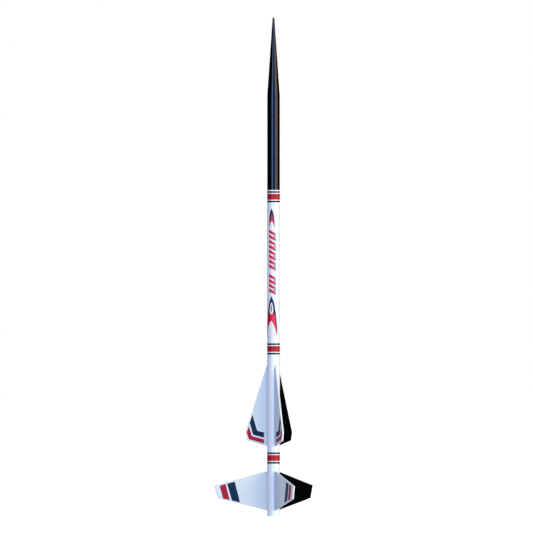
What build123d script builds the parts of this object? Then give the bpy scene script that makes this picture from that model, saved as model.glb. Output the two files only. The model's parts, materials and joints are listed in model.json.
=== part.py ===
from build123d import *
import os
from math import asin, atan2, cos, hypot, sin, sqrt

# A tall, slim model rocket with two sets of three fins, in millimetres.
# +Z runs up the rocket's axis and the origin is the centre of its tail rim.
# One fin of each set points to -Y. The launch lugs and the engine hook are on the +Y side.

# ---- body tubes -----------------------------------------------------------
tube_radius = 12.4
tube_wall = 0.33
tube_bore = tube_radius - tube_wall
body_top = 824.4  # where the nose cone meets the tube
paint_line = 638.9  # joint of the black tube and the white one
lower_joint = 327.7  # joint of the two white tubes
glue_gap = 0.05  # radial room for glue between two fixed round pieces
tube_ends = {
    "lower_body_tube": (0, lower_joint),
    "middle_body_tube": (lower_joint, paint_line),
    "upper_body_tube": (paint_line, body_top),
}
coupler_wall = 0.5
coupler_length = 50.0
coupler_joints = {"lower_coupler": lower_joint, "upper_coupler": paint_line}

# ---- nose cone ------------------------------------------------------------
nose_length = 152.9
nose_tip_radius = 1.9
nose_lip = 0.2  # eased edge of the cone's foot, along its flank
nose_wall = 1.2
nose_hollow_top = body_top + 138.0
nose_hollow_tip = 0.6  # radius of the hollow's blunt end
shoulder_radius = tube_bore - 0.07
shoulder_length = 32.0
shoulder_lead_in = 0.6
shoulder_bottom = body_top - shoulder_length

base_thickness = 2.0
eyelet_width = 9.0
eyelet_drop = 8.0
eyelet_thickness = 2.5
eyelet_hole = 2.3  # radius
eyelet_corner = 1.4
eyelet_bottom = shoulder_bottom - eyelet_drop

# ---- fins: (distance from the axis, height) of the corners -----------------
fin_thickness = 3.2
fin_edge_radius = 0.5
fin_angles = {"front": -90, "right": 30, "left": 150}
fin_sets = {
    "aft_fin": [(tube_radius, 87.6), (118.4, 59.3), (111.7, 34.0), (tube_radius, 10.6)],
    "forward_fin": [(tube_radius, 296.5), (55.4, 163.6), (52.1, 147.6), (tube_radius, 136.8)],
}
root_overlap = 1.0  # how far a fin's blank runs into the tube before its root is cut round

# ---- launch lugs ----------------------------------------------------------
lug_radius = 2.3
lug_bore = 1.98
lug_length = 38.0
lug_bottoms = {"lower_launch_lug": 30.0, "upper_launch_lug": 372.0}
lug_offset = tube_radius + lug_radius + glue_gap

# ---- engine mount ---------------------------------------------------------
engine_bore = 9.0
engine_tube_radius = 9.35
engine_tube_bottom = 12.0
engine_tube_top = 82.0
ring_radius = tube_bore - glue_gap
ring_bore = engine_tube_radius + glue_gap
forward_ring_bottom = 77.2
aft_ring_bottom = 20.0
aft_ring_top = 26.0
aft_ring_notch = 4.4
block_radius = engine_bore - glue_gap
block_bore = 7.4
block_bottom = 77.0

# ---- engine hook: a bent steel strip in the YZ plane ----------------------
hook_width = 3.2
hook_thickness = 0.5
hook_bend = 0.8  # radius of a bend at mid thickness
hook_line = ring_bore + hook_thickness / 2
hook_top = 76.4
hook_route = [
    (8.3, hook_top),
    (hook_line, hook_top),
    (hook_line, 5.9),
    (7.7, 5.9),
    (8.5, 0.9),
]
slit_width = 3.6
slit_bottom = 75.2
slit_top = 76.9
retainer_bottom = 69.5
retainer_top = 74.5
retainer_bore = 10.4  # leaves the hook room to swing out
retainer_wall = 0.4

# ---- recovery gear, packed inside the black tube ---------------------------
canopy_radius = 8.5
canopy_y = -2.2  # the pack leans away from the cord's paper mount
canopy_bottom = 668.0
canopy_top = 740.0
canopy_edge = 3.0
wrap_thickness = 0.8
wrap_bottom = 690.0
wrap_top = 716.0
line_lead_radius = 0.9
line_lead_x = 9.5
line_route = [
    (line_lead_x, canopy_y, 700.0),
    (line_lead_x, canopy_y, 742.0),
    (6.4, -1.3, 766.0),
    (2.3, 0, eyelet_bottom - 0.5),
]
line_bends = [160.0, 165.0]

mount_width = 19.0
mount_thickness = 1.0
mount_bottom = 704.0
mount_top = 742.0

cord_x = -2.0  # the cord's middle, across its width
cord_width = 3.2
cord_thickness = 0.8
cord_wall_y = 11.0
cord_fold_ys = (8.6, -6.4)  # where the cord doubles back
cord_fold_pitch = 1.7
cord_bend = 0.49 * cord_fold_pitch  # radius of a fold at mid thickness
cord_fold_count = 16
cord_first_fold = 748.0
cord_end_y = 0.0


def save(label, part):
    """Labels a finished piece and writes it as its own STEP file."""
    part.label = label
    export_step(part, f"parts/{label}.step")


def round_tube(radius, bore, bottom, top):
    """A plain round tube or ring on the rocket's axis."""
    with BuildPart() as tube:
        with BuildSketch(Plane.XY.offset(bottom)):
            Circle(radius)
            Circle(bore, mode=Mode.SUBTRACT)
        extrude(amount=top - bottom)
    return tube.part


def fin(corners, angle):
    """A flat wooden fin with eased edges, its root cut round to sit on the tube."""
    root_top = corners[0][1]
    root_bottom = corners[-1][1]
    inside = tube_radius - root_overlap
    outward = Vector(1, 0, 0).rotate(Axis.Z, angle)
    across = Vector(0, -1, 0).rotate(Axis.Z, angle)
    with BuildPart() as blade:
        with BuildSketch(Plane(origin=(0, 0, 0), x_dir=outward, z_dir=across)):
            with BuildLine():
                Polyline((inside, root_top), *corners, (inside, root_bottom), close=True)
            make_face()
        extrude(amount=fin_thickness / 2, both=True)
        free_edges = (
            blade.edges()
            .filter_by(lambda edge: abs((edge @ 1 - edge @ 0).dot(across)) < fin_thickness / 2)
            .filter_by(lambda edge: (edge @ 0.5).dot(outward) > tube_radius)
        )
        fillet(free_edges, fin_edge_radius)
        Cylinder(
            tube_radius,
            body_top,
            align=(Align.CENTER, Align.CENTER, Align.MIN),
            mode=Mode.SUBTRACT,
        )
    return blade.part


def launch_lug(bottom):
    """A thin paper tube glued along the body, which the launch rod runs through."""
    with BuildPart() as lug:
        with BuildSketch(Plane.XY.offset(bottom)):
            with Locations((0, lug_offset)):
                Circle(lug_radius)
                Circle(lug_bore, mode=Mode.SUBTRACT)
        extrude(amount=lug_length)
    return lug.part


def flat_strip(route, radius, thickness, width, middle):
    """A flat strip that follows a route of (y, z) points, as wide as width along X."""
    with BuildPart() as strip:
        with BuildSketch(Plane.YZ.offset(middle)):
            with BuildLine():
                FilletPolyline(*route, radius=radius)
            trace(line_width=thickness)
        extrude(amount=width / 2, both=True)
    return strip.part


def cord_route():
    """The elastic cord's route: up from the paper mount, folded to and fro, to the eyelet."""
    points = [(cord_wall_y, mount_top), (cord_wall_y, cord_first_fold)]
    height = cord_first_fold
    for fold in range(cord_fold_count):
        turn_y = cord_fold_ys[(fold + 1) % 2]
        points.append((turn_y, height))
        height += cord_fold_pitch
        points.append((turn_y, height))
    points.append((cord_end_y, height))
    points.append((cord_end_y, eyelet_bottom))
    return points


os.makedirs("parts", exist_ok=True)

# ---- nose cone: a hollow moulded cone with a rounded tip and a shoulder -----
nose_top = body_top + nose_length
tip_centre = nose_length - nose_tip_radius
flank_reach = hypot(tube_radius, tip_centre)
flank_angle = atan2(tip_centre, -tube_radius) - asin(nose_tip_radius / flank_reach)
flank_length = sqrt(flank_reach**2 - nose_tip_radius**2)
flank_way = (cos(flank_angle), sin(flank_angle))


def flank_point(distance):
    """A point of the cone's flank, by its distance up the flank from the tube's end."""
    return (tube_radius + distance * flank_way[0], body_top + distance * flank_way[1])


flank_end = flank_point(flank_length)
hollow_radius = shoulder_radius - nose_wall

with BuildPart() as nose_cone:
    with BuildSketch(Plane.XZ):
        with BuildLine():
            Polyline(
                (0, shoulder_bottom),
                (shoulder_radius - shoulder_lead_in, shoulder_bottom),
                (shoulder_radius, shoulder_bottom + shoulder_lead_in),
                (shoulder_radius, body_top),
                (tube_radius - nose_lip, body_top),
                flank_point(nose_lip),
                flank_end,
            )
            TangentArc(flank_end, (0, nose_top), tangent=flank_way)
            Line((0, nose_top), (0, shoulder_bottom))
        make_face()
        with BuildLine():
            Polyline(
                (0, shoulder_bottom),
                (hollow_radius, shoulder_bottom),
                (hollow_radius, body_top),
                (nose_hollow_tip, nose_hollow_top),
                (0, nose_hollow_top),
                close=True,
            )
        make_face(mode=Mode.SUBTRACT)
    revolve(axis=Axis.Z)
save("nose_cone", nose_cone.part)

# ---- nose base: the plug that closes the shoulder, with its moulded eyelet --
with BuildPart() as nose_base:
    with BuildSketch(Plane.XY.offset(shoulder_bottom)):
        Circle(hollow_radius - glue_gap)
    extrude(amount=base_thickness)
    with BuildSketch(Plane.XZ):
        with Locations((0, shoulder_bottom)):
            Rectangle(eyelet_width, eyelet_drop, align=(Align.CENTER, Align.MAX))
        with Locations((0, shoulder_bottom - eyelet_drop / 2)):
            Circle(eyelet_hole, mode=Mode.SUBTRACT)
    extrude(amount=eyelet_thickness / 2, both=True)
    eyelet_corners = nose_base.edges().filter_by(Axis.Y).group_by(Axis.Z)[0]
    fillet(eyelet_corners, eyelet_corner)
save("nose_base", nose_base.part)

# ---- body tubes and the sleeves that join them ------------------------------
for label, (bottom, top) in tube_ends.items():
    save(label, round_tube(tube_radius, tube_bore, bottom, top))

coupler_radius = tube_bore - glue_gap
for label, joint in coupler_joints.items():
    sleeve_bottom = joint - coupler_length / 2
    sleeve_top = joint + coupler_length / 2
    sleeve_bore = coupler_radius - coupler_wall
    save(label, round_tube(coupler_radius, sleeve_bore, sleeve_bottom, sleeve_top))

# ---- fins -------------------------------------------------------------------
for set_name, corners in fin_sets.items():
    for side, angle in fin_angles.items():
        save(f"{set_name}_{side}", fin(corners, angle))

# ---- launch lugs ------------------------------------------------------------
for label, bottom in lug_bottoms.items():
    save(label, launch_lug(bottom))

# ---- engine mount -----------------------------------------------------------
with BuildPart() as engine_tube:
    with BuildSketch(Plane.XY.offset(engine_tube_bottom)):
        Circle(engine_tube_radius)
        Circle(engine_bore, mode=Mode.SUBTRACT)
    extrude(amount=engine_tube_top - engine_tube_bottom)
    with BuildSketch(Plane.XY.offset(slit_bottom)):
        Rectangle(slit_width, tube_radius, align=(Align.CENTER, Align.MIN))
    extrude(amount=slit_top - slit_bottom, mode=Mode.SUBTRACT)
save("engine_tube", engine_tube.part)

forward_ring = round_tube(ring_radius, ring_bore, forward_ring_bottom, engine_tube_top)
save("forward_centering_ring", forward_ring)

with BuildPart() as aft_ring:
    with BuildSketch(Plane.XY.offset(aft_ring_bottom)):
        Circle(ring_radius)
        Circle(ring_bore, mode=Mode.SUBTRACT)
        Rectangle(
            aft_ring_notch,
            tube_radius,
            align=(Align.CENTER, Align.MIN),
            mode=Mode.SUBTRACT,
        )
    extrude(amount=aft_ring_top - aft_ring_bottom)
save("aft_centering_ring", aft_ring.part)

save("engine_block", round_tube(block_radius, block_bore, block_bottom, engine_tube_top))
hook = flat_strip(hook_route, hook_bend, hook_thickness, hook_width, 0)
save("engine_hook", hook)
retainer = round_tube(
    retainer_bore + retainer_wall, retainer_bore, retainer_bottom, retainer_top
)
save("hook_retainer_ring", retainer)

# ---- recovery gear ----------------------------------------------------------
with BuildPart() as shock_cord_mount:
    with BuildSketch(Plane.XY.offset(mount_bottom)):
        Circle(tube_bore - glue_gap)
        Circle(tube_bore - glue_gap - mount_thickness, mode=Mode.SUBTRACT)
        Rectangle(
            mount_width,
            tube_radius,
            align=(Align.CENTER, Align.MIN),
            mode=Mode.INTERSECT,
        )
    extrude(amount=mount_top - mount_bottom)
save("shock_cord_mount", shock_cord_mount.part)

cord = flat_strip(cord_route(), cord_bend, cord_thickness, cord_width, cord_x)
save("shock_cord", cord)

with BuildPart() as parachute:
    with BuildSketch(Plane.XY.offset(canopy_bottom)):
        with Locations((0, canopy_y)):
            Circle(canopy_radius)
    extrude(amount=canopy_top - canopy_bottom)
    fillet(parachute.edges().filter_by(GeomType.CIRCLE), canopy_edge)
save("parachute", parachute.part)

wrap_bore = canopy_radius + glue_gap
with BuildPart() as shroud_lines:
    with BuildSketch(Plane.XY.offset(wrap_bottom)):
        with Locations((0, canopy_y)):
            Circle(wrap_bore + wrap_thickness)
            Circle(wrap_bore, mode=Mode.SUBTRACT)
    extrude(amount=wrap_top - wrap_bottom)
    with BuildLine() as lead:
        FilletPolyline(*line_route, radius=line_bends)
    with BuildSketch(Plane(origin=line_route[0], z_dir=(0, 0, 1))):
        Circle(line_lead_radius)
    sweep(path=lead.line)
save("shroud_lines", shroud_lines.part)
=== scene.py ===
"""The looks of a model rocket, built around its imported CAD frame.

Everything is in metres in the row frame: +Z runs up the rocket's axis from the tail rim,
one fin of each set points to -Y, and the launch lugs are on the +Y side.
"""

import json
import math

import bmesh
import bpy
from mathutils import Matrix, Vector, noise


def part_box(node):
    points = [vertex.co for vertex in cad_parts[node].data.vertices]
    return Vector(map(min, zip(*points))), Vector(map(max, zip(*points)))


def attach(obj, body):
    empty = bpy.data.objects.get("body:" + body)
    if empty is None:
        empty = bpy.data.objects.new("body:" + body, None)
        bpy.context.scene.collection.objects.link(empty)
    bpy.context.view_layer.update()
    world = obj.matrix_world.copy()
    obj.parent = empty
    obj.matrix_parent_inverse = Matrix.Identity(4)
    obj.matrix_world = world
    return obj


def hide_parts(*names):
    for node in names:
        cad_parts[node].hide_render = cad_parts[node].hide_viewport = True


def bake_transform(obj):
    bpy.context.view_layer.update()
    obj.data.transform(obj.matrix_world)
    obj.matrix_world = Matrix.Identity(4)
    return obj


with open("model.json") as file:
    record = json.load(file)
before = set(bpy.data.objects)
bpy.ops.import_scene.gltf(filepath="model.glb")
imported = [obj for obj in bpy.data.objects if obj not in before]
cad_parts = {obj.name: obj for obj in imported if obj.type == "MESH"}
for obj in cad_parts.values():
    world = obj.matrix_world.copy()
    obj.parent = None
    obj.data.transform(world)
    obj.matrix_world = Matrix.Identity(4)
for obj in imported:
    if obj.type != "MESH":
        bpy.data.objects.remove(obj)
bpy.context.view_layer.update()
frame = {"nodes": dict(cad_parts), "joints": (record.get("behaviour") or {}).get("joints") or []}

MM = 0.001
NODES = frame["nodes"]
AIRFRAME, NOSE = "airframe", "nose"

# ---- sizes read from the frame ----
TUBE_LOW, TUBE_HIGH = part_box("middle_body_tube")
TUBE_RADIUS = (TUBE_HIGH.x - TUBE_LOW.x) / 2
FIN_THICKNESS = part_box("aft_fin_front")[1].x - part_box("aft_fin_front")[0].x
LUG_RADIUS = (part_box("lower_launch_lug")[1].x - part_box("lower_launch_lug")[0].x) / 2
LUG_CENTRE_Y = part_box("lower_launch_lug")[1].y - LUG_RADIUS
NOSE_TRAVEL = next(j["range_m"][1] for j in frame["joints"] if j["name"] == "nose_release")

# ---- decals and fins ----
DECAL_LIFT = 0.07 * MM  # how far a decal's face stands off the paint
DECAL_SINK = 0.12 * MM  # how far its body runs into the paint, past the frame's facets
GRAPHIC_ANGLE = math.radians(-128.4)  # the middle of the graphics that run down the tube
FIN_ANGLES = {"front": -90.0, "right": 30.0, "left": 150.0}  # in degrees round the axis
WHITE_FINS = ("front", "left")

# ==================================================
# Mesh helpers
# ==================================================


def ray(angle):
    """A level unit vector at that angle round the axis."""
    return Vector((math.cos(angle), math.sin(angle), 0))


def add_object(name, data, material):
    """Links a new object, shaded with that material."""
    data.materials.append(material)
    thing = bpy.data.objects.new(name, data)
    bpy.context.scene.collection.objects.link(thing)
    return thing


def finish_mesh(bm, name, material, crease=30.0):
    """Turns a bmesh into a smooth-shaded object with sharp edges above the crease angle."""
    bmesh.ops.recalc_face_normals(bm, faces=bm.faces)
    for face in bm.faces:
        face.smooth = True
    for edge in bm.edges:
        if len(edge.link_faces) == 2:
            edge.smooth = edge.calc_face_angle(0.0) < math.radians(crease)
    mesh = bpy.data.meshes.new(name)
    bm.to_mesh(mesh)
    bm.free()
    return add_object(name, mesh, material)


def skin(bm, rings, closed=True, capped=False):
    """Faces between neighbouring rings of vertices. capped closes the first and last ring."""
    for low, high in zip(rings, rings[1:]):
        count = len(low)
        for i in range(count if closed else count - 1):
            j = (i + 1) % count
            bm.faces.new((low[i], low[j], high[j], high[i]))
    if capped:
        bm.faces.new(reversed(rings[0]))
        bm.faces.new(rings[-1])


def ring_piece(name, bottom, top, inner, outer, material):
    """A thin closed band on the rocket's axis, with a small bevel on its outer edges."""
    segments = 128
    bevel = min(0.02 * MM, (outer - inner) / 3)
    profile = [
        (inner, bottom),
        (outer - bevel, bottom),
        (outer, bottom + bevel),
        (outer, top - bevel),
        (outer - bevel, top),
        (inner, top),
    ]
    bm = bmesh.new()
    rings = []
    for i in range(segments):
        angle = 2 * math.pi * i / segments
        c, s = math.cos(angle), math.sin(angle)
        rings.append([bm.verts.new((r * c, r * s, z)) for r, z in profile])
    skin(bm, [*rings, rings[0]])
    return finish_mesh(bm, name, material)


def plate(outline, place, name, material, step=None):
    """A thin closed plate of a flat outline, each point of it placed by place(across, up, lift).

    step cuts the plate into upright slices, so that it can follow a round surface.
    """
    bm = bmesh.new()
    bm.faces.new([bm.verts.new((a, b, 0)) for a, b in outline])
    bm.normal_update()
    bmesh.ops.triangulate(bm, faces=bm.faces)
    if step:
        low = min(a for a, _ in outline)
        high = max(a for a, _ in outline)
        count = max(1, math.ceil((high - low) / step))
        for i in range(1, count):
            everything = [*bm.verts, *bm.edges, *bm.faces]
            at = low + (high - low) * i / count
            bmesh.ops.bisect_plane(bm, geom=everything, plane_co=(at, 0, 0), plane_no=(1, 0, 0))
    raised = bmesh.ops.extrude_face_region(bm, geom=list(bm.faces), use_keep_orig=True)["geom"]
    tops = {v for v in raised if isinstance(v, bmesh.types.BMVert)}
    for vert in bm.verts:
        lift = DECAL_LIFT if vert in tops else -DECAL_SINK
        vert.co = place(vert.co.x, vert.co.y, lift)
    return finish_mesh(bm, name, material, crease=40.0)


def on_tube(angle, lean=0.0, pivot=0.0, over=0.0):
    """Places a decal's points on the body tube, round from that angle.

    lean is its drift to the left for its fall below the pivot's height, and over is how far it
    stands above other decals.
    """

    def place(across, up, lift):
        turn = angle + (across - lean * (pivot - up)) / TUBE_RADIUS
        reach = TUBE_RADIUS + lift + over
        return Vector((reach * math.cos(turn), reach * math.sin(turn), up))

    return place


def on_fin(angle, side):
    """Places a decal's points on one face of the fin at that angle. side is 1 or -1."""
    outward = ray(math.radians(angle))
    across_fin = Vector((-outward.y, outward.x, 0)) * side

    def place(across, up, lift):
        return outward * across + across_fin * (FIN_THICKNESS / 2 + lift) + Vector((0, 0, up))

    return place


def tube_along(bm, points, radius, sides, squash=1.0, closed=False):
    """A round cord's skin along a list of points, each ring turned square to its path."""
    rings = []
    count = len(points)
    side = None
    for i, point in enumerate(points):
        before = points[i - 1] if closed or i else points[i]
        after = points[(i + 1) % count] if closed or i < count - 1 else points[i]
        way = (after - before).normalized()
        if side is None:
            side = way.orthogonal().normalized()
        side = (side - way * side.dot(way)).normalized()
        up = way.cross(side)
        ring = []
        for k in range(sides):
            turn = 2 * math.pi * k / sides
            reach = side * math.cos(turn) + up * math.sin(turn) * squash
            ring.append(bm.verts.new(point + reach * radius))
        rings.append(ring)
    if closed:
        rings.append(rings[0])
    skin(bm, rings, capped=not closed)


# ==================================================
# Materials: every pattern is worked out from the piece's own coordinates
# ==================================================


class Nodes:
    """Short calls that add nodes to a shader's node tree."""

    def __init__(self, tree):
        self.tree = tree

    def node(self, kind, **settings):
        made = self.tree.nodes.new(kind)
        for name, value in settings.items():
            setattr(made, name, value)
        return made

    def feed(self, socket, value):
        """Links an output to a socket, or sets the socket's own value."""
        if isinstance(value, bpy.types.NodeSocket):
            self.tree.links.new(value, socket)
        else:
            socket.default_value = value

    def calc(self, operation, first, second=0.0, third=0.0):
        made = self.node("ShaderNodeMath", operation=operation)
        for socket, value in zip(made.inputs, (first, second, third)):
            self.feed(socket, value)
        return made.outputs[0]

    def blend(self, share, first, second, kind="MIX"):
        """A mix of two colours, each a triple or an output."""
        made = self.node("ShaderNodeMix", data_type="RGBA", blend_type=kind)
        self.feed(made.inputs["Factor"], share)
        for name, value in (("A", first), ("B", second)):
            socket = next(s for s in made.inputs if s.name == name and s.type == "RGBA")
            self.feed(socket, (*value, 1) if isinstance(value, tuple) else value)
        return next(s for s in made.outputs if s.type == "RGBA")


class Finish(Nodes):
    """A node material with one Principled shader. In a socket's name, _ stands for a space."""

    def __init__(self, name, color, roughness, **sockets):
        self.material = bpy.data.materials.new(name)
        self.material.use_nodes = True
        super().__init__(self.material.node_tree)
        self.shader = self.tree.nodes["Principled BSDF"]
        self.shader.inputs["Base Color"].default_value = (*color, 1)
        self.shader.inputs["Roughness"].default_value = roughness
        for socket, value in sockets.items():
            self.shader.inputs[socket.replace("_", " ")].default_value = value
        self.place = self.node("ShaderNodeTexCoord").outputs["Object"]
        self.normal = None

    def axes(self):
        """The x, y and z of the piece's own coordinates."""
        made = self.node("ShaderNodeSeparateXYZ")
        self.feed(made.inputs[0], self.place)
        return made.outputs

    def join(self, x, y, z):
        made = self.node("ShaderNodeCombineXYZ")
        for socket, value in zip(made.inputs, (x, y, z)):
            self.feed(socket, value)
        return made.outputs[0]

    def reach(self, centre_y=0.0):
        """The distance from an upright axis at x 0 and that y: the rocket's own, or a lug's."""
        x, y, _ = self.axes()
        offset = self.calc("SUBTRACT", y, centre_y)
        across = self.calc("MULTIPLY", x, x)
        return self.calc("SQRT", self.calc("MULTIPLY_ADD", offset, offset, across))

    def noise(self, scale, detail=3.0, roughness=0.5, place=None):
        made = self.node("ShaderNodeTexNoise")
        self.feed(made.inputs["Vector"], place or self.place)
        made.inputs["Scale"].default_value = scale
        made.inputs["Detail"].default_value = detail
        made.inputs["Roughness"].default_value = roughness
        return made.outputs["Fac"]

    def step(self, value, low, high, out_low=0.0, out_high=1.0):
        """A smooth step of value from low to high."""
        made = self.node("ShaderNodeMapRange", interpolation_type="SMOOTHSTEP")
        self.feed(made.inputs["Value"], value)
        ends = {"From Min": low, "From Max": high, "To Min": out_low, "To Max": out_high}
        for name, end in ends.items():
            made.inputs[name].default_value = end
        return made.outputs["Result"]

    def color(self, value):
        self.feed(self.shader.inputs["Base Color"], value)

    def rough(self, value):
        self.feed(self.shader.inputs["Roughness"], value)

    def bump(self, height, distance):
        """Adds a bump on top of those added before."""
        made = self.node("ShaderNodeBump")
        made.inputs["Strength"].default_value = 1.0
        made.inputs["Distance"].default_value = distance
        self.feed(made.inputs["Height"], height)
        if self.normal:
            self.feed(made.inputs["Normal"], self.normal)
        self.normal = made.outputs["Normal"]
        self.feed(self.shader.inputs["Normal"], self.normal)

    def wave(self, run, pitch):
        """A sine wave of that pitch along a run."""
        return self.calc("SINE", self.calc("MULTIPLY", run, 2 * math.pi / pitch))

    def spiral(self, pitch, width):
        """1 on a wound tube's spiral seam and 0 off it."""
        x, y, z = self.axes()
        turn = self.calc("DIVIDE", self.calc("ARCTAN2", y, x), 2 * math.pi)
        along = self.calc("FRACT", self.calc("SUBTRACT", self.calc("DIVIDE", z, pitch), turn))
        off_seam = self.calc("ABSOLUTE", self.calc("SUBTRACT", along, 0.5))
        return self.step(off_seam, 0.0, width / pitch, 1.0, 0.0)


WHITE = (0.83, 0.875, 0.95)
FIN_WHITE = (0.80, 0.85, 0.855)
# painted shade: glue fillets painted with the fin white, coloured darker and bluer than the fins
# for the shade in the root corner
GLUE_WHITE_PAINTED_SHADE = (0.58, 0.67, 0.76)
# painted shade: a deeper, bluer fillet colour for the front fins' roots
GLUE_PAINTED_DEEP_SHADE = (0.36, 0.48, 0.68)
BLACK = (0.0012, 0.0014, 0.0018)
KRAFT = (0.36, 0.235, 0.125)
KRAFT_DARK = (0.25, 0.155, 0.075)
RED = (0.45, 0.008, 0.014)
FIN_RED = (0.47, 0.009, 0.034)
NAVY = (0.003, 0.023, 0.062)
# The graphics fade round the tube from red to pink and from black to navy: the pink and the navy
# are painted light on the side towards the lamps.
GRAPHIC_RED = (0.68, 0.006, 0.013)
GRAPHIC_LIT_PINK = (0.78, 0.030, 0.085)
GRAPHIC_BLACK = (0.0015, 0.002, 0.003)
GRAPHIC_LIT_NAVY = (0.007, 0.028, 0.085)
STRIPE_PINK = (0.66, 0.13, 0.20)
SHADOW = (0.27, 0.33, 0.345)
SHADOW_EDGE = (0.03, 0.04, 0.10)
CARD_SEAM = (0.12, 0.07, 0.035)
ROOT_PAINTED_SHADE = (0.62, 0.70, 0.88)  # painted shade: the tint that darkens and blues fin paint next to the tube


def scaled(color, factor):
    return tuple(c * factor for c in color)


def weathered(paint, on_light, on_dark):
    """The paint's second tone: a factor for light paints, and another for dark ones."""
    return scaled(paint, on_light if paint[0] > 0.1 else on_dark)


def add_orange_peel(finish, distance=0.004 * MM):
    """The faint ripple of sprayed gloss paint."""
    finish.bump(finish.noise(900, 2.0), distance)


def tube_finish(name, paint, roughness, radius=TUBE_RADIUS, centre_y=0.0, seam_pitch=74 * MM):
    """Gloss paint over a spiral-wound card tube, bare card inside and on the cut rims."""
    finish = Finish(name, paint, roughness)
    reach = finish.reach(centre_y)
    card = finish.blend(finish.noise(700, 6.0, 0.65), KRAFT_DARK, KRAFT)
    seam = finish.spiral(seam_pitch, 0.9 * MM)
    card = finish.blend(finish.calc("MULTIPLY", seam, 0.6), card, CARD_SEAM)
    dust = finish.step(finish.noise(45, 5.0), 0.35, 0.75)
    coat = finish.blend(finish.calc("MULTIPLY", dust, 0.5), paint, weathered(paint, 0.93, 1.6))
    painted = finish.step(reach, radius - 0.22 * MM, radius - 0.12 * MM)
    finish.color(finish.blend(painted, card, coat))
    bare_roughness = finish.step(painted, 0.0, 1.0, 0.85, roughness)
    smear = finish.calc("MULTIPLY", finish.noise(60, 4.0), 0.06)
    finish.rough(finish.calc("ADD", bare_roughness, smear))
    finish.bump(seam, 0.012 * MM)
    add_orange_peel(finish)
    return finish.material


def fin_finish(name, paint, lean, roughness):
    """Gloss paint over sanded balsa, darker and bluer towards the root as painted shade. lean is
    the grain's angle from level, in radians.
    """
    finish = Finish(name, paint, roughness, Specular_IOR_Level=0.2)
    reach = finish.reach()
    _, _, z = finish.axes()
    along = finish.calc(
        "SUBTRACT",
        finish.calc("MULTIPLY", reach, math.cos(lean)),
        finish.calc("MULTIPLY", z, math.sin(lean)),
    )
    across = finish.calc(
        "ADD",
        finish.calc("MULTIPLY", reach, math.sin(lean)),
        finish.calc("MULTIPLY", z, math.cos(lean)),
    )
    grain_place = finish.join(finish.calc("MULTIPLY", along, 0.03), across, 0.0)
    grain = finish.noise(1100, 4.0, 0.6, grain_place)
    color = finish.blend(finish.step(grain, 0.4, 0.8), paint, weathered(paint, 0.95, 1.8))
    # thin is painted shade: it darkens and blues the paint over the 45 mm next to the tube
    thin = finish.step(reach, TUBE_RADIUS, TUBE_RADIUS + 45 * MM, 0.6, 0.0)
    finish.color(finish.blend(thin, color, tuple(c * k for c, k in zip(paint, ROOT_PAINTED_SHADE))))
    finish.rough(finish.step(finish.noise(70, 4.0), 0.2, 0.8, roughness, roughness + 0.08))
    finish.bump(grain, 0.012 * MM)
    add_orange_peel(finish)
    return finish.material


def plastic_finish(name, color, roughness):
    """Moulded plastic, with the faint scuffs of handling."""
    finish = Finish(name, color, roughness)
    x, y, z = finish.axes()
    scuff_place = finish.join(x, y, finish.calc("MULTIPLY", z, 0.15))
    scuffs = finish.step(finish.noise(420, 6.0, 0.7, scuff_place), 0.62, 0.78)
    lighter = tuple(c * 2.0 + 0.001 for c in color)
    finish.color(finish.blend(scuffs, color, lighter))
    finish.rough(finish.step(scuffs, 0.0, 1.0, roughness, roughness + 0.12))
    add_orange_peel(finish, 0.002 * MM)
    return finish.material


def decal_finish(name, color, roughness=0.22, gloss=0.2):
    """Printed film: an even colour with a faint unevenness of the ink."""
    finish = Finish(name, color, roughness, Specular_IOR_Level=gloss)
    ink = finish.noise(260, 4.0)
    finish.color(finish.blend(finish.step(ink, 0.35, 0.75), color, scaled(color, 0.86)))
    add_orange_peel(finish, 0.003 * MM)
    return finish.material


def painted_light_fade_finish(name, left, right, fade_angle, reach):
    """Printed film that fades from one colour to another round the tube, across that angle. The
    fade is painted light: the second colour is the side that turns towards the key lamps.
    """
    finish = Finish(name, left, 0.22, Specular_IOR_Level=0.2)
    x, y, _ = finish.axes()
    across = finish.calc(
        "SUBTRACT",
        finish.calc("MULTIPLY", y, math.cos(fade_angle)),
        finish.calc("MULTIPLY", x, math.sin(fade_angle)),
    )
    ink = finish.step(finish.noise(260, 4.0), 0.35, 0.75, 0.0, 0.12)
    share = finish.calc("ADD", finish.step(across, -reach, reach), ink)
    finish.color(finish.blend(share, left, right))
    add_orange_peel(finish, 0.003 * MM)
    return finish.material


def card_finish(name, seam_pitch=None):
    """Bare kraft card: short fibres, and thin wound layers that show on a cut edge."""
    finish = Finish(name, KRAFT, 0.85)
    fibres = finish.noise(650, 6.0, 0.65)
    reach = finish.reach()
    layers = finish.wave(reach, 0.3 * MM)
    color = finish.blend(fibres, KRAFT_DARK, KRAFT)
    color = finish.blend(finish.step(layers, 0.6, 1.0, 0.0, 0.35), color, KRAFT_DARK)
    if seam_pitch:
        seam = finish.spiral(seam_pitch, 0.6 * MM)
        color = finish.blend(finish.calc("MULTIPLY", seam, 0.6), color, CARD_SEAM)
        finish.bump(seam, -0.03 * MM)
    finish.color(color)
    finish.bump(fibres, 0.03 * MM)
    return finish.material


def steel_finish():
    """Spring steel strip, with rolling lines along it and patches of a straw tint."""
    finish = Finish("spring_steel", (0.56, 0.56, 0.57), 0.3, Metallic=1.0, Anisotropic=0.4)
    x, y, z = finish.axes()
    lines = finish.noise(2500, 3.0, 0.6, finish.join(x, y, finish.calc("MULTIPLY", z, 0.02)))
    straw = finish.calc("MULTIPLY", finish.step(finish.noise(90, 3.0), 0.5, 0.8), 0.4)
    finish.color(finish.blend(straw, (0.58, 0.58, 0.59), (0.45, 0.36, 0.24)))
    finish.rough(finish.step(lines, 0.2, 0.8, 0.22, 0.42))
    finish.bump(lines, 0.01 * MM)
    return finish.material


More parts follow.
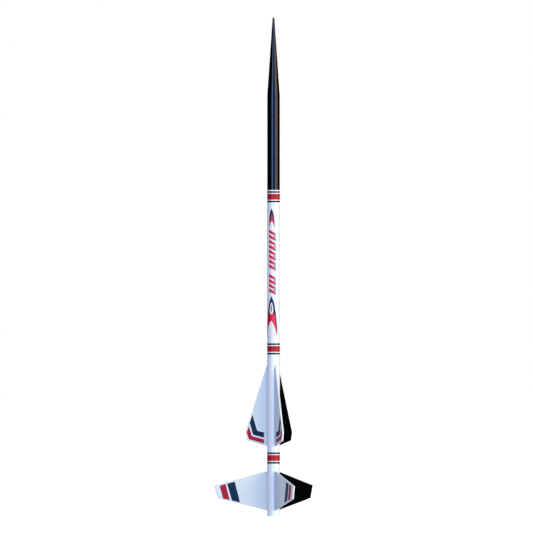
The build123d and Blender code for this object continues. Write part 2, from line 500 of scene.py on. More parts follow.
def paper_finish():
    """Plain folded paper, stiff with glue."""
    finish = Finish("glued_paper", (0.74, 0.70, 0.60), 0.7)
    fibres = finish.noise(900, 6.0, 0.7)
    stain = finish.step(finish.noise(120, 4.0), 0.4, 0.8)
    color = finish.blend(fibres, (0.66, 0.62, 0.52), (0.80, 0.77, 0.68))
    finish.color(finish.blend(finish.calc("MULTIPLY", stain, 0.5), color, (0.55, 0.46, 0.3)))
    finish.bump(fibres, 0.03 * MM)
    return finish.material


def elastic_finish():
    """Flat braided elastic: two sets of crossing strands."""
    finish = Finish("braided_elastic", (0.78, 0.76, 0.7), 0.75, Sheen_Weight=0.3)
    x, _, z = finish.axes()
    runs = [finish.calc("MULTIPLY_ADD", z, slope, x) for slope in (2.0, -2.0)]
    braid = finish.calc("MAXIMUM", *(finish.wave(run, 0.8 * MM) for run in runs))
    # The grooves between the strands are coloured darker than the strands: painted shade.
    finish.color(finish.blend(finish.step(braid, 0.0, 1.0), (0.5, 0.48, 0.43), (0.82, 0.8, 0.75)))
    finish.bump(braid, 0.06 * MM)
    return finish.material


def canopy_finish():
    """Thin ripstop cloth in red and white panels."""
    finish = Finish("canopy_cloth", (0.6, 0.03, 0.03), 0.5, Sheen_Weight=0.4)
    x, y, z = finish.axes()
    turn = finish.calc("ARCTAN2", y, x)
    panel = finish.step(finish.calc("SINE", finish.calc("MULTIPLY_ADD", z, 16.0, turn)), 0.55, 0.57)
    color = finish.blend(panel, (0.55, 0.02, 0.025), (0.82, 0.82, 0.8))
    weave = finish.calc("ADD", finish.wave(z, 0.35 * MM), finish.wave(turn, math.pi / 80))
    ripstop = finish.calc("MAXIMUM", finish.wave(z, 2.6 * MM), finish.wave(turn, math.pi / 10))
    grid = finish.step(ripstop, 0.95, 1.0)
    finish.color(finish.blend(finish.calc("MULTIPLY", grid, 0.3), color, (0.25, 0.1, 0.1)))
    finish.bump(weave, 0.02 * MM)
    finish.bump(grid, 0.05 * MM)
    finish.bump(finish.noise(160, 5.0), 0.2 * MM)
    return finish.material


def thread_finish():
    """Twisted cotton thread."""
    finish = Finish("carpet_thread", (0.78, 0.76, 0.7), 0.8, Sheen_Weight=0.4)
    x, y, z = finish.axes()
    lay = finish.calc("ADD", finish.calc("ADD", x, y), finish.calc("MULTIPLY", z, 1.5))
    twist = finish.wave(lay, 0.55 * MM)
    # The grooves of the twist are coloured darker than the plies: painted shade.
    finish.color(finish.blend(finish.step(twist, -0.6, 0.8), (0.5, 0.48, 0.42), (0.84, 0.82, 0.77)))
    finish.bump(twist, 0.05 * MM)
    return finish.material


def glue_finish(name, color, roughness):
    """A painted-over glue fillet: a little lumpy."""
    finish = Finish(name, color, roughness)
    lumps = finish.noise(240, 3.0)
    finish.color(finish.blend(lumps, color, scaled(color, 0.94)))
    finish.bump(lumps, 0.15 * MM)
    return finish.material


AFT_GRAIN = math.radians(15)
FORWARD_GRAIN = math.radians(72)
white_tube = tube_finish("white_tube_paint", WHITE, 0.16)
white_lug = tube_finish("white_lug_paint", WHITE, 0.2, LUG_RADIUS, LUG_CENTRE_Y, 12 * MM)
black_tube = tube_finish("black_tube_paint", BLACK, 0.05)
black_plastic = plastic_finish("black_nose_plastic", BLACK, 0.05)
base_plastic = plastic_finish("nose_base_plastic", (0.012, 0.012, 0.014), 0.4)
fin_paints = {
    ("aft", True): fin_finish("white_aft_fin_paint", FIN_WHITE, AFT_GRAIN, 0.3),
    ("aft", False): fin_finish("black_aft_fin_paint", BLACK, AFT_GRAIN, 0.12),
    ("forward", True): fin_finish("white_forward_fin_paint", FIN_WHITE, FORWARD_GRAIN, 0.3),
    ("forward", False): fin_finish("black_forward_fin_paint", BLACK, FORWARD_GRAIN, 0.12),
}
bare_card = card_finish("kraft_card")
wound_card = card_finish("wound_kraft_card", 38 * MM)
steel = steel_finish()
paper = paper_finish()
elastic = elastic_finish()
canopy_cloth = canopy_finish()
thread = thread_finish()
pale_glue_painted_shade = glue_finish("white_glue_fillet_painted_shade", GLUE_WHITE_PAINTED_SHADE, 0.25)
deep_shade_glue = glue_finish("glue_fillet_painted_deep_shade", GLUE_PAINTED_DEEP_SHADE, 0.25)
black_glue = glue_finish("black_glue_fillet", BLACK, 0.1)
# The front fins' fillets take the deeper painted shade, and the left ones the paler painted shade.
FIN_GLUES = {"front": deep_shade_glue, "right": black_glue, "left": pale_glue_painted_shade}

# A printed colour is its material and the record slot that it belongs to.
RED_PRINT = decal_finish("decal_red", RED), "decal_red"
FIN_RED_PRINT = decal_finish("decal_fin_red", FIN_RED, 0.4, 0.1), "decal_red"
FIN_NAVY_PRINT = decal_finish("decal_fin_navy", NAVY, 0.4, 0.1), "decal_navy"
BLACK_PRINT = decal_finish("decal_black", BLACK, 0.05, 0.5), "decal_black"
WHITE_PRINT = decal_finish("decal_white", (0.86, 0.90, 0.93), 0.3), "decal_white"
SHADOW_PRINT = decal_finish("decal_shadow", SHADOW), "decal_grey"
SHADOW_EDGE_PRINT = decal_finish("decal_shadow_edge", SHADOW_EDGE), "decal_grey"
# The red and the navy graphics carry a fade round the tube that is painted light.
GRAPHIC_PRINT_LIT_FADE = (
    painted_light_fade_finish("decal_graphic_red_painted_light", GRAPHIC_RED, GRAPHIC_LIT_PINK, GRAPHIC_ANGLE, 5.6 * MM),
    "decal_red",
)
DART_PRINT_LIT_FADE = (
    painted_light_fade_finish("decal_graphic_navy_painted_light", GRAPHIC_BLACK, GRAPHIC_LIT_NAVY, GRAPHIC_ANGLE, 5.6 * MM),
    "decal_navy",
)
STRIPE_PRINT = decal_finish("decal_stripe", STRIPE_PINK), "decal_red"

# ==================================================
# Camera, light and floor
# ==================================================
CAMERA_ANGLE = math.radians(-110)  # where the camera stands, round the rocket's axis
CAMERA_HEIGHT = 489 * MM
FRAME_WIDTH = 1.045  # how much of the rocket's plane the picture takes in
AXIS_OFFSET = 13.7 * MM  # the axis stands this far to the right of the picture's middle
SENSOR = 36.0
LENS = 1500.0  # long and far away, so that the picture has next to no perspective


def add_camera():
    camera = bpy.data.objects.new("camera", bpy.data.cameras.new("camera"))
    camera.data.sensor_width = SENSOR
    camera.data.lens = LENS
    camera.data.clip_end = 200
    back = ray(CAMERA_ANGLE)
    right = ray(CAMERA_ANGLE + math.pi / 2)
    distance = FRAME_WIDTH * LENS / SENSOR
    camera.location = back * distance - right * AXIS_OFFSET + Vector((0, 0, CAMERA_HEIGHT))
    camera.rotation_mode = "QUATERNION"
    camera.rotation_quaternion = (-back).to_track_quat("-Z", "Y")
    bpy.context.scene.collection.objects.link(camera)
    bpy.context.scene.camera = camera


def add_panel(name, start, end, height, distance, radiance, glossy=False):
    """An upright soft light between two azimuths, in degrees to the right of the camera.

    A glossy panel only shows as a reflection. The others only light the paint itself.
    """
    half = math.radians(end - start) / 2
    middle = CAMERA_ANGLE + math.radians(start + end) / 2
    light = bpy.data.lights.new(name, "AREA")
    light.shape = "RECTANGLE"
    light.size = 2 * distance * math.tan(half)
    light.size_y = height
    strength = max(radiance)
    light.color = [c / strength for c in radiance]
    light.energy = strength * math.pi * light.size * light.size_y
    panel = bpy.data.objects.new(name, light)
    panel.location = ray(middle) * distance + Vector((0, 0, 0.6))
    panel.rotation_mode = "QUATERNION"
    panel.rotation_quaternion = (-ray(middle)).to_track_quat("-Z", "Y")
    panel.visible_camera = False
    panel.visible_diffuse = not glossy
    panel.visible_glossy = glossy
    bpy.context.scene.collection.objects.link(panel)


def add_world(base, front, rear, reflected):
    """White behind the object, soft fill from front and rear, and a dark room in reflections."""
    world = bpy.data.worlds.new("studio")
    world.use_nodes = True
    nodes = Nodes(world.node_tree)
    path = nodes.node("ShaderNodeLightPath").outputs
    way = nodes.node("ShaderNodeTexCoord").outputs["Generated"]
    color = base
    for lobe, side in ((front, 1), (rear, -1)):
        facing = nodes.node("ShaderNodeVectorMath", operation="DOT_PRODUCT")
        nodes.feed(facing.inputs[0], way)
        nodes.feed(facing.inputs[1], ray(CAMERA_ANGLE) * side)
        share = nodes.calc("MAXIMUM", facing.outputs["Value"])
        color = nodes.blend(share, color, lobe, "ADD")
    color = nodes.blend(path["Is Glossy Ray"], color, reflected)
    color = nodes.blend(path["Is Camera Ray"], color, (1.0, 1.0, 1.0))
    nodes.feed(world.node_tree.nodes["Background"].inputs["Color"], color)
    bpy.context.scene.world = world


def add_floor():
    """A wide pale floor that glows a little, so that it stays white right up to the object."""
    bm = bmesh.new()
    bmesh.ops.create_circle(bm, cap_ends=True, segments=96, radius=40)
    bmesh.ops.translate(bm, verts=bm.verts, vec=(0, 0, -0.2 * MM))
    glow = {"Emission_Color": (1, 1, 1, 1), "Emission_Strength": 0.8}
    pale = Finish("pale_floor", (0.55, 0.55, 0.56), 0.9, Specular_IOR_Level=0.0, **glow)
    floor = finish_mesh(bm, "floor", pale.material)
    floor.visible_diffuse = False
    floor.visible_glossy = False


add_camera()
add_world(
    base=(0.09, 0.09, 0.18),
    front=(0.94, 1.05, 1.20),
    rear=(0.60, 0.63, 0.70),
    reflected=(0.004, 0.005, 0.006),
)
add_floor()
add_panel("blue_reflection", -32.5, -9.2, 3.2, 2.3, (1.7, 2.8, 5.1), glossy=True)
add_panel("navy_reflection", -9.2, 27.8, 3.2, 2.3, (0.01, 0.30, 1.1), glossy=True)
add_panel("warm_reflection", 27.8, 78, 3.2, 2.3, (3.2, 2.3, 1.9), glossy=True)
add_panel("rear_reflection", 173, 193, 3.2, 2.3, (1.6, 2.0, 2.8), glossy=True)
add_panel("soft_key", 17, 77, 3.0, 4.0, (0.95, 0.90, 0.38))
add_panel("key", 50, 80, 3.0, 4.0, (5.8, 5.6, 4.2))
add_panel("rear_left", -172, -152, 2.4, 4.0, (7.0, 6.4, 4.5))
add_panel("rear_right", 140, 160, 2.4, 4.0, (4.2, 3.9, 2.9))
bpy.context.scene.view_settings.view_transform = "Standard"

# ==================================================
# The frame's own nodes, each with its material
# ==================================================
NODE_MATERIALS = {
    "nose_cone": black_plastic,
    "nose_base": base_plastic,
    "upper_body_tube": black_tube,
    "middle_body_tube": white_tube,
    "lower_body_tube": white_tube,
    "upper_coupler": wound_card,
    "lower_coupler": wound_card,
    "lower_launch_lug": white_lug,
    "upper_launch_lug": white_lug,
    "engine_tube": wound_card,
    "forward_centering_ring": bare_card,
    "aft_centering_ring": bare_card,
    "engine_block": bare_card,
    "hook_retainer_ring": bare_card,
    "engine_hook": steel,
    "shock_cord_mount": paper,
}
for fin_set in ("aft", "forward"):
    for fin_side in FIN_ANGLES:
        fin_node = f"{fin_set}_fin_{fin_side}"
        NODE_MATERIALS[fin_node] = fin_paints[fin_set, fin_side in WHITE_FINS]
for node_name, node_material in NODE_MATERIALS.items():
    node_mesh = NODES[node_name].data
    node_mesh.materials.clear()
    node_mesh.materials.append(node_material)


def settle(piece, body, slot):
    """The piece rides on that body. slot is not used."""
    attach(piece, body)
    return piece


# ==================================================
# Printed bands round the body
# ==================================================
BAND_HEIGHTS = {"upper": 625.65 * MM, "middle": 327.4 * MM, "lower": 113.6 * MM}
BAND_WIDTH = 11.5 * MM
BAND_GAP = 1.9 * MM
LINE_WIDTH = 3.4 * MM
LINE_OFFSET = BAND_WIDTH / 2 + BAND_GAP + LINE_WIDTH / 2


def band_ring(name, middle, width, ink):
    material, slot = ink
    inner = TUBE_RADIUS - DECAL_SINK
    outer = TUBE_RADIUS + DECAL_LIFT
    ring = ring_piece(name, middle - width / 2, middle + width / 2, inner, outer, material)
    settle(ring, AIRFRAME, slot)


for band_name, band_height in BAND_HEIGHTS.items():
    band_ring(f"band_{band_name}_red", band_height, BAND_WIDTH, RED_PRINT)
    for line_name, side in (("top", 1), ("bottom", -1)):
        line_height = band_height + side * LINE_OFFSET
        band_ring(f"band_{band_name}_{line_name}_line", line_height, LINE_WIDTH, BLACK_PRINT)

# ==================================================
# Fin stripes: (distance from the axis, height) in millimetres, on both faces
# ==================================================
AFT_STRIPES = {
    "red": (FIN_RED_PRINT, [(107.0, 58.9), (95.0, 62.4), (86.8, 30.8), (100.1, 33.6)]),
    "navy": (FIN_NAVY_PRINT, [(92.0, 63.0), (76.85, 67.2), (66.3, 26.3), (82.6, 30.1)]),
    "inner_white": (WHITE_PRINT, [(76.85, 67.2), (73.6, 68.0), (63.1, 25.6), (66.3, 26.3)]),
    "middle_white": (WHITE_PRINT, [(95.0, 62.4), (92.0, 63.0), (82.6, 30.1), (86.8, 30.8)]),
    "outer_white": (WHITE_PRINT, [(115.0, 57.0), (107.0, 58.9), (100.1, 33.6), (108.9, 35.5)]),
}
FORWARD_CHEVRONS = {
    "inner_white": (
        WHITE_PRINT,
        [(39.6, 199.0), (30.6, 169.4), (18.5, 166.3), (18.5, 163.9), (32.05, 167.1), (41.7, 198.5)],
    ),
    "navy": (
        FIN_NAVY_PRINT,
        [(41.7, 198.5), (32.05, 167.1), (18.5, 163.9), (18.5, 153.2), (40.4, 159.1), (47.0, 182.4)],
    ),
    "middle_white": (
        WHITE_PRINT,
        [(47.0, 182.4), (40.4, 159.1), (18.5, 153.2), (18.5, 150.2), (42.7, 156.5), (48.6, 176.1)],
    ),
    "red": (
        FIN_RED_PRINT,
        [(48.6, 176.1), (42.7, 156.5), (18.5, 150.2), (18.5, 141.9), (48.8, 150.5), (53.0, 163.9)],
    ),
}


def fin_decals(fin_set, shapes):
    for fin_side in WHITE_FINS:
        for face_name, side in (("a", 1), ("b", -1)):
            place = on_fin(FIN_ANGLES[fin_side], side)
            for shape_name, ((material, slot), corners) in shapes.items():
                outline = [(r * MM, z * MM) for r, z in corners]
                name = f"{fin_set}_{fin_side}_{shape_name}_{face_name}"
                settle(plate(outline, place, name, material), AIRFRAME, slot)


fin_decals("aft", AFT_STRIPES)
fin_decals("forward", FORWARD_CHEVRONS)

# ==================================================
# Graphics down the tube: two darts, and plain slanted bars between them
# ==================================================
GRAPHIC_PLACE = on_tube(GRAPHIC_ANGLE)
SLICE = 0.8 * MM  # how wide the upright slices of a print are


def smooth_path(points, steps):
    """Points along a Catmull-Rom curve through the given ones."""
    points = [Vector(p) for p in points]
    ends = [2 * points[0] - points[1], *points, 2 * points[-1] - points[-2]]
    path = []
    for a, b, c, d in zip(ends, ends[1:], ends[2:], ends[3:]):
        for i in range(steps):
            t = i / steps
            curve = 2 * b + (c - a) * t + (2 * a - 5 * b + 4 * c - d) * t**2
            path.append((curve + (3 * b - 3 * c + d - a) * t**3) / 2)
    return [*path, points[-1]]


def graphic(name, top, edges, ink, mirror=True, place=GRAPHIC_PLACE):
    """A print on the tube. Each edge is a smooth run of (across, up from top) points, in mm.

    mirror makes the left half from the right one, which starts and ends on the middle line.
    """
    material, slot = ink
    half = []
    for edge in edges:
        steps = 6 if len(edge) > 2 else 1
        for point in smooth_path([(a, z, 0) for a, z in edge], steps):
            if not half or (point - half[-1]).length > 1e-6:
                half.append(point)
    outline = [(p.x * MM, top + p.y * MM) for p in half]
    if mirror:
        outline += [(-a, z) for a, z in reversed(outline[1:-1])]
    settle(plate(outline, place, name, material, SLICE), AIRFRAME, slot)


UPPER_DART_TOP = 602.6 * MM
UPPER_LEAN = -0.015
UPPER_TAIL = (6.0, -38)
UPPER_FLANK = [(0, 0), (2.4, -5), (3.8, -10), (4.8, -16), (5.5, -24), UPPER_TAIL]
UPPER_INSET = [(0, -10), (1.5, -14.5), (2.8, -20), (3.8, -26.5), (5.0, -33), UPPER_TAIL]
UPPER_NOTCH = [(0, -24.2), (2.2, -27.6), (4.0, -32.4), UPPER_TAIL]
UPPER_DART = {
    "navy": (DART_PRINT_LIT_FADE, [UPPER_FLANK, UPPER_INSET[::-1]]),
    "red": (GRAPHIC_PRINT_LIT_FADE, [UPPER_INSET, UPPER_NOTCH[::-1]]),
}

LOWER_DART_TOP = 431.0 * MM
LOWER_LEAN = 0.010
LOWER_TAIL = (12.7, -79)
LOWER_FLANK = [(0, 0), (4.0, -9.5), (5.6, -15), (8.2, -29), (10.9, -48), (12.4, -62.5), LOWER_TAIL]
LOWER_INSET = [(5.5, -34.5), (7.0, -40), (7.9, -48), (9.1, -56), (10.5, -64), LOWER_TAIL]
LOZENGE_UPPER = [(0, -12.0), (1.8, -14.8), (3.1, -20), (3.8, -26), (3.9, -29.5)]
LOZENGE_LOWER = [(3.9, -29.5), (3.1, -33), (0, -36.5)]
RED_TOP = [LOZENGE_LOWER[1], LOWER_INSET[0]]
LOWER_NOTCH = [(0, -47.8), (3.9, -54), (7.6, -63.5), (9.8, -71.5), LOWER_TAIL]
LOWER_DART = {
    "navy": (
        DART_PRINT_LIT_FADE,
        [LOWER_FLANK, LOWER_INSET[::-1], RED_TOP[::-1], LOZENGE_LOWER[1::-1], LOZENGE_UPPER[::-1]],
    ),
    "red": (GRAPHIC_PRINT_LIT_FADE, [LOZENGE_LOWER[:0:-1], RED_TOP, LOWER_INSET, LOWER_NOTCH[::-1]]),
    "white": (WHITE_PRINT, [LOZENGE_UPPER, LOZENGE_LOWER]),
}
STRIPE = {"stripe": (STRIPE_PRINT, [[(0, -16.5), (1.3, -20), (1.4, -29), (0, -33)]])}
STRIPE_LIFT = 0.03 * MM  # how far it stands above the lozenge


def dart(name, top, lean, parts, over=0.0):
    """The parts of a dart, which share its top and its lean."""
    place = on_tube(GRAPHIC_ANGLE, lean, top, over)
    for part_name, (ink, edges) in parts.items():
        graphic(f"{name}_{part_name}", top, edges, ink, place=place)


dart("upper_dart", UPPER_DART_TOP, UPPER_LEAN, UPPER_DART)
dart("lower_dart", LOWER_DART_TOP, LOWER_LEAN, LOWER_DART)
dart("lower_dart", LOWER_DART_TOP, LOWER_LEAN, STRIPE, STRIPE_LIFT)

# The bars' sizes, in millimetres
BAR_LEFT, BAR_RIGHT = -5.7, 5.0
BAR_SLOPE = 0.5  # how far a bar drops for its width
BAR_STROKE = 6.4
BAR_PITCH = 9.5
GROUP_SIZE = 2
SHADOW_END = 8.6
SHADOW_FOOT = 2.8  # the dark lowest part of each shadow
GROUP_HEIGHTS = (555.6, 536.0, 516.6, 497.4, 468.6, 450.0)  # each group's first bar's middle


def slanted(left, right, low, high):
    """A slanted bar's straight edges, from low to high."""
    corners = [
        (left, low - left * BAR_SLOPE),
        (right, low - right * BAR_SLOPE),
        (right, high - right * BAR_SLOPE),
        (left, high - left * BAR_SLOPE),
    ]
    return [corners[k : k + 2] for k in range(3)]


def bar_group(name, middle):
    """Plain slanted bars, one under the other, with a pale shadow down their right ends."""
    low, high = -BAR_STROKE / 2, BAR_STROKE / 2
    for i in range(GROUP_SIZE):
        place = (middle - i * BAR_PITCH) * MM
        bar = slanted(BAR_LEFT, BAR_RIGHT, low, high)
        graphic(f"{name}_bar_{i + 1}", place, bar, GRAPHIC_PRINT_LIT_FADE, mirror=False)
    foot = low - (GROUP_SIZE - 1) * BAR_PITCH
    shadow = slanted(BAR_RIGHT, SHADOW_END, foot + SHADOW_FOOT, high)
    edge = slanted(BAR_RIGHT, SHADOW_END, foot, foot + SHADOW_FOOT)
    graphic(f"{name}_shadow", middle * MM, shadow, SHADOW_PRINT, mirror=False)
    graphic(f"{name}_shadow_foot", middle * MM, edge, SHADOW_EDGE_PRINT, mirror=False)


for number, group_height in enumerate(GROUP_HEIGHTS, start=1):
    bar_group(f"group_{number}", group_height)

# ==================================================
# Glue fillets along the fin roots and the launch lugs
# ==================================================
FILLET = 1.1 * MM
FILLET_TAPER = 5.0 * MM
FILLET_STEPS = 40
ARC_STEPS = 8
SUNK = 0.2 * MM  # how far a fillet runs into the tube, less than the tube's wall


def fillet_arc(centre, first, last):
    """Points of the concave arc round centre, from the first touch point to the last."""
    reach = (first - centre).length
    start = (first - centre).normalized()
    end = (last - centre).normalized()
    whole = start.angle(end)
    points = []
    for i in range(ARC_STEPS + 1):
        t = i / ARC_STEPS
        share = math.sin((1 - t) * whole) * start + math.sin(t * whole) * end
        points.append(centre + share.normalized() * reach)
    return points


def root_section(radius, side):
    """A fin fillet's section: (out from the axis, across the fin)."""
    half = FIN_THICKNESS / 2
    across = half + radius
    out = math.sqrt((TUBE_RADIUS + radius) ** 2 - across**2)
    centre = Vector((out, across))
    on_blade = Vector((out, half))
    on_body = centre * TUBE_RADIUS / (TUBE_RADIUS + radius)
    corner = Vector((TUBE_RADIUS - SUNK, half - 0.5 * MM))
    arc = fillet_arc(centre, on_blade, on_body)
    section = [corner, on_blade - Vector((0, SUNK)), *arc, on_body * (1 - SUNK / TUBE_RADIUS)]
    return [Vector((p.x, p.y * side)) for p in section]


def lug_section(radius, side):
    """A lug fillet's section: (out from the axis towards the lug, across)."""
    from_axis = TUBE_RADIUS + radius
    from_lug = LUG_RADIUS + radius
    out = (from_axis**2 - from_lug**2 + LUG_CENTRE_Y**2) / (2 * LUG_CENTRE_Y)
    across = math.sqrt(from_axis**2 - out**2)
    centre = Vector((out, across))
    lug = Vector((LUG_CENTRE_Y, 0))
    on_lug = lug + (centre - lug) * LUG_RADIUS / from_lug
    on_body = centre * TUBE_RADIUS / from_axis
    sunk_lug = lug + (on_lug - lug) * (1 - 0.15 * MM / LUG_RADIUS)
    sunk_body = on_body * (1 - SUNK / TUBE_RADIUS)
    middle = Vector((TUBE_RADIUS, 0.2 * MM))
    section = [middle, sunk_lug, *fillet_arc(centre, on_lug, on_body), sunk_body]
    return [Vector((p.x, p.y * side)) for p in section]


def fillet_pair(name, angle, bottom, top, section, material):
    """Two fillets, one on each side, that taper off at both ends."""
    out = ray(angle)
    across = ray(angle + math.pi / 2)
    bm = bmesh.new()
    for side in (1, -1):
        rings = []
        for i in range(FILLET_STEPS + 1):
            share = (1 - math.cos(math.pi * i / FILLET_STEPS)) / 2
            height = bottom + (top - bottom) * share
            from_end = min(height - bottom, top - height) / FILLET_TAPER
            wobble = 1 + 0.1 * noise.noise(Vector((height * 120, side, angle)))
            radius = FILLET * wobble * (0.25 + 0.75 * math.sqrt(min(1.0, from_end)))
            points = section(radius, side)
            ring = [out * p.x + across * p.y + Vector((0, 0, height)) for p in points]
            rings.append([bm.verts.new(p) for p in ring])
        skin(bm, rings, capped=True)
    return finish_mesh(bm, name, material, crease=50)


for fin_set in ("aft", "forward"):
    for fin_side, fin_angle in FIN_ANGLES.items():
        low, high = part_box(f"{fin_set}_fin_{fin_side}")
        bottom, top = low.z + 1.0 * MM, high.z - 1.0 * MM
        name = f"{fin_set}_fillet_{fin_side}"
        angle = math.radians(fin_angle)
        pair = fillet_pair(name, angle, bottom, top, root_section, FIN_GLUES[fin_side])
        settle(pair, AIRFRAME, "white_wood" if fin_side in WHITE_FINS else "black_wood")

for lug in ("lower", "upper"):
    low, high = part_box(f"{lug}_launch_lug")
    bottom, top = low.z + 0.5 * MM, high.z - 0.5 * MM
    pair = fillet_pair(f"{lug}_lug_fillet", math.pi / 2, bottom, top, lug_section, pale_glue_painted_shade)
    settle(pair, AIRFRAME, "white_wood")

# ==================================================
# Recovery gear: the rolled canopy, its lines and the elastic cord
# ==================================================
PACK_LOW, PACK_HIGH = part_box("parachute")
PACK_CENTRE = (PACK_LOW + PACK_HIGH) / 2
PACK_RADIUS = (PACK_HIGH.x - PACK_LOW.x) / 2
PACK_PLAIN = PACK_RADIUS * 0.97  # its radius before the creases
CORE_RADIUS = 0.9 * MM
LAYER_PITCH = 0.21 * MM
WRAP_LOW = 692 * MM
WRAP_HIGH = 714 * MM
EYELET_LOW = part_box("nose_base")[0].z
EYELET_RIM = 0.85 * MM  # half the height of the eyelet's rim below its hole
EYELET_HALF = 1.25 * MM  # half the eyelet's thickness


def pinch_at(height):
    """1 in the middle of the windings round the pack, and less away from them."""
    from_wrap = (height - (WRAP_LOW + WRAP_HIGH) / 2) / (22 * MM)
    return math.exp(-(from_wrap**2))


def taut_share(angle, height):
    """The pack's girth where a taut line lies on it, as a share of its plain radius."""
    folds = noise.noise(ray(angle) * 2.2 + Vector((0, 0, height * 48)))
    return 1 + 0.035 * folds - 0.05 * pinch_at(height)


def pack_share(angle, height):
    """The girth of the cloth itself, which sinks into creases under the line."""
    way = ray(angle)
    crease = abs(noise.noise(way * 2.4 + Vector((0, 0, height * 70))))
    gather = abs(noise.noise(way * 4.5 + Vector((0, 0, height * 14))))
    from_end = min(height - PACK_LOW.z, PACK_HIGH.z - height) / (6 * MM)
    rounding = 0.10 * math.exp(-max(0.0, from_end) * 1.5)
    sunk = 0.16 * crease + 0.14 * gather * (0.3 + pinch_at(height))
    return taut_share(angle, height) - sunk - rounding


def pack_point(angle, height, reach):
    return Vector((PACK_CENTRE.x, PACK_CENTRE.y, height)) + ray(angle) * reach


def rolled_canopy():
    """The canopy, folded in pleats and rolled up: one long spiral of thin cloth."""
    per_turn, rows = 56, 28
    turns = (PACK_PLAIN - CORE_RADIUS) / LAYER_PITCH
    count = int(turns * per_turn)
    bm = bmesh.new()
    columns = []
    for i in range(count + 1):
        turn = 2 * math.pi * i / per_turn
        radius = CORE_RADIUS + LAYER_PITCH * i / per_turn
        ragged = noise.noise(Vector((i * 0.013, 0.5, 0.2)))
        frill = noise.noise(Vector((i * 0.21, 3.5, 1.2)))
        top = PACK_HIGH.z - (1.6 + 1.6 * ragged + 0.5 * frill) * MM
        bottom = PACK_LOW.z + (1.6 + 1.6 * ragged - 0.5 * frill) * MM
        column = []
        for j in range(rows + 1):
            height = bottom + (top - bottom) * j / rows
            column.append(bm.verts.new(pack_point(turn, height, radius * pack_share(turn, height))))
        columns.append(column)
    skin(bm, columns, closed=False)
    return finish_mesh(bm, "parachute_canopy", canopy_cloth, crease=80)


canopy = rolled_canopy()
settle(canopy, NOSE, "canopy_cloth")
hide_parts("parachute")

LINE_RADIUS = 0.24 * MM
LINE_COUNT = 6
LEAD_ROUTE = [
    (9.0, -3.6, 697), (9.5, -2.2, 706), (9.5, -2.2, 724), (9.5, -2.2, 742), (8.1, -1.8, 755),
    (6.4, -1.3, 766), (4.0, -0.6, 775), (1.6, -0.2, 781.0),
]


def knot_path(centre, size, turn):
    """A trefoil knot, which is what an overhand knot looks like when it is pulled tight."""
    points = []
    for i in range(72):
        t = 2 * math.pi * i / 72
        x = math.sin(t) + 2 * math.sin(2 * t)
        y = math.cos(t) - 2 * math.cos(2 * t)
        z = -math.sin(3 * t) * 1.3
        c, s = math.cos(turn), math.sin(turn)
        points.append(centre + Vector((x * c - z * s, y * 0.8, x * s + z * c)) * size / 3)
    return points


def eyelet_loop(x, gap):
    """A loop round the eyelet's rim, through its hole, with that gap to its own middle line."""
    points = []
    middle = EYELET_LOW + EYELET_RIM
    for i in range(40):
        t = 2 * math.pi * i / 40
        c, s = math.cos(t), math.sin(t)
        y = math.copysign(abs(c) ** 0.6, c) * (EYELET_HALF + gap)
        z = math.copysign(abs(s) ** 0.6, s) * (EYELET_RIM + gap)
        points.append(Vector((x, y, middle + z)))
    return points


def line_wraps(bm):
    """One line wound round the pack, down and back up over itself."""
    turns, per_turn = 9, 44
    points = []
    for i in range(2 * turns * per_turn + 1):
        turn = 2 * math.pi * i / per_turn
        share = i / (2 * turns * per_turn)
        down = abs(1 - 2 * share)
        height = WRAP_LOW + (WRAP_HIGH - WRAP_LOW) * down
        height += 0.7 * MM * noise.noise(Vector((share * 31, 2.5, 0.3)))
        over = -0.15 * MM if share < 0.5 else 0.3 * MM
        points.append(pack_point(turn, height, PACK_PLAIN * taut_share(turn, height) + over))
    tube_along(bm, points, LINE_RADIUS, sides=6)


def line_lead(bm):
    """The lines on their way to the eyelet, lightly twisted together."""
    middle = smooth_path([tuple(c * MM for c in p) for p in LEAD_ROUTE], steps=12)
    for k in range(LINE_COUNT):
        points = []
        for i, point in enumerate(middle):
            share = i / (len(middle) - 1)
            turn = 2 * math.pi * (k / LINE_COUNT + 2.5 * share)
            spread = (0.55 + 0.15 * math.sin(9 * share + k)) * MM * (1 - 0.35 * share)
            points.append(point + ray(turn) * spread)
        tube_along(bm, points, LINE_RADIUS, sides=6)


def shroud_lines():
    bm = bmesh.new()
    line_wraps(bm)
    line_lead(bm)
    centre = Vector((1.5 * MM, -0.1 * MM, 782.2 * MM))
    tube_along(bm, knot_path(centre, 1.35 * MM, 0.4), 0.42 * MM, sides=8, closed=True)
    for x in (0.9, 1.5):
        tube_along(bm, eyelet_loop(x * MM, 0.35 * MM), 0.32 * MM, sides=8, closed=True)
    return finish_mesh(bm, "parachute_lines", thread, crease=60)


lines = shroud_lines()
settle(lines, NOSE, "line_thread")
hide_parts("shroud_lines")

# ---- the elastic cord, shaped as it is when the nose is off, then folded back in ----
CORD_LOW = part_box("shock_cord_mount")[1].z
CORD_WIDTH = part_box("shock_cord")[1].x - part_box("shock_cord")[0].x
CORD_X = (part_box("shock_cord")[1].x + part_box("shock_cord")[0].x) / 2
CORD_HALF = 0.42 * MM  # half its thickness
CORD_STEPS = 420
CORD_AT_MOUNT = 10.55 * MM  # how far off the axis it leaves its mount
CORD_MIDDLE = 1.1 * MM  # how far off the axis its folds swing about
FOLD_START = 744 * MM
FOLD_END = 776 * MM
HALF_WAVE = 12.5 * MM
SWING = 7.4 * MM


def ease(share):
    """A smooth step of share from 0 to 1."""
    t = min(1.0, max(0.0, share))
    return t * t * (3 - 2 * t)


def folded_height(height):
    """Where a height with the nose off comes to when the nose is on."""
    low, high = CORD_LOW - 10 * MM, height
    for _ in range(50):
        guess = (low + high) / 2
        if guess + NOSE_TRAVEL * ease((guess - FOLD_START) / (FOLD_END - FOLD_START)) < height:
            low = guess
        else:
            high = guess
    return (low + high) / 2


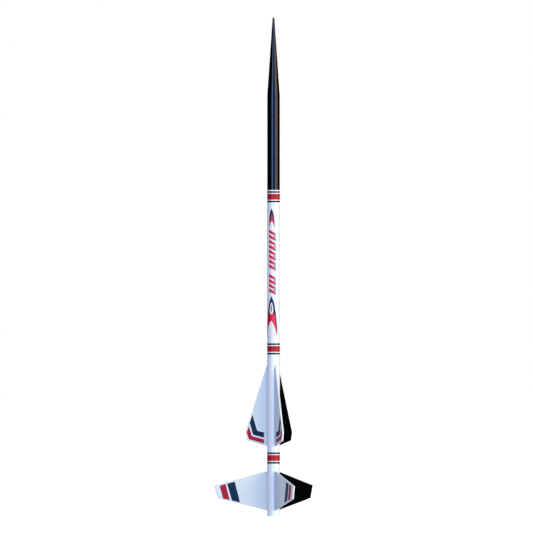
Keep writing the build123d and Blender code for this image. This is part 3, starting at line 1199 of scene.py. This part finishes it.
def cord_line():
    """The stretched cord's middle line: (y, z), rippled where its folds have opened."""
    top = EYELET_LOW + NOSE_TRAVEL - 1.5 * MM
    bottom = CORD_LOW - 6 * MM
    points = []
    for i in range(CORD_STEPS + 1):
        height = bottom + (top - bottom) * i / CORD_STEPS
        rise = (height - (CORD_LOW + 2 * MM)) / (top - CORD_LOW)
        grow = max(0.0, min(1.0, rise * 16)) * max(0.0, min(1.0, (1 - rise) * 14))
        wander = 0.5 * noise.noise(Vector((height * 17, 0, 0)))
        swing = SWING * ease(grow) * math.sin(math.pi * (height - CORD_LOW) / HALF_WAVE + wander)
        inwards = ease(rise * 14)
        middle = CORD_MIDDLE * (1 - max(0.0, rise) ** 6)
        mean = CORD_AT_MOUNT * (1 - inwards) + middle * inwards
        points.append(Vector((0, mean - swing, height)))
    return points


def shock_cord():
    bm = bmesh.new()
    points = cord_line()
    rings = []
    half = CORD_WIDTH / 2
    edge = 0.25 * MM
    section = [
        (-half, -0.45), (-half + edge, -1), (half - edge, -1), (half, -0.45),
        (half, 0.45), (half - edge, 1), (-half + edge, 1), (-half, 0.45),
    ]
    for i, point in enumerate(points):
        before = points[max(0, i - 1)]
        after = points[min(len(points) - 1, i + 1)]
        way = (after - before).normalized()
        normal = Vector((0, -way.z, way.y))
        share = i / (len(points) - 1)
        narrow = 1 - 0.45 * max(0.0, (share - 0.96) / 0.04)
        middle = CORD_X + 0.7 * MM * max(0.0, (share - 0.9) / 0.1)
        tilt = 0.18 * math.sin(share * 23)
        ring = []
        for across, out in section:
            x = middle + across * narrow
            place = point + normal * (out * CORD_HALF + tilt * across * 0.5)
            ring.append(bm.verts.new((x, place.y, folded_height(place.z))))
        rings.append(ring)
    skin(bm, rings, capped=True)
    return finish_mesh(bm, "elastic_cord", elastic, crease=70)


cord = shock_cord()
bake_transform(cord)
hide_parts("shock_cord")


def cord_knot():
    """The elastic's knot under the eyelet, and its loop through the hole."""
    bm = bmesh.new()
    centre = Vector((-1.3 * MM, 0, 782.6 * MM))
    tube_along(bm, knot_path(centre, 1.7 * MM, -0.5), 0.62 * MM, sides=10, squash=0.7, closed=True)
    tube_along(bm, eyelet_loop(-1.0 * MM, 0.55 * MM), 0.5 * MM, sides=10, closed=True)
    return finish_mesh(bm, "elastic_cord_knot", elastic, crease=60)


settle(cord_knot(), NOSE, "elastic")
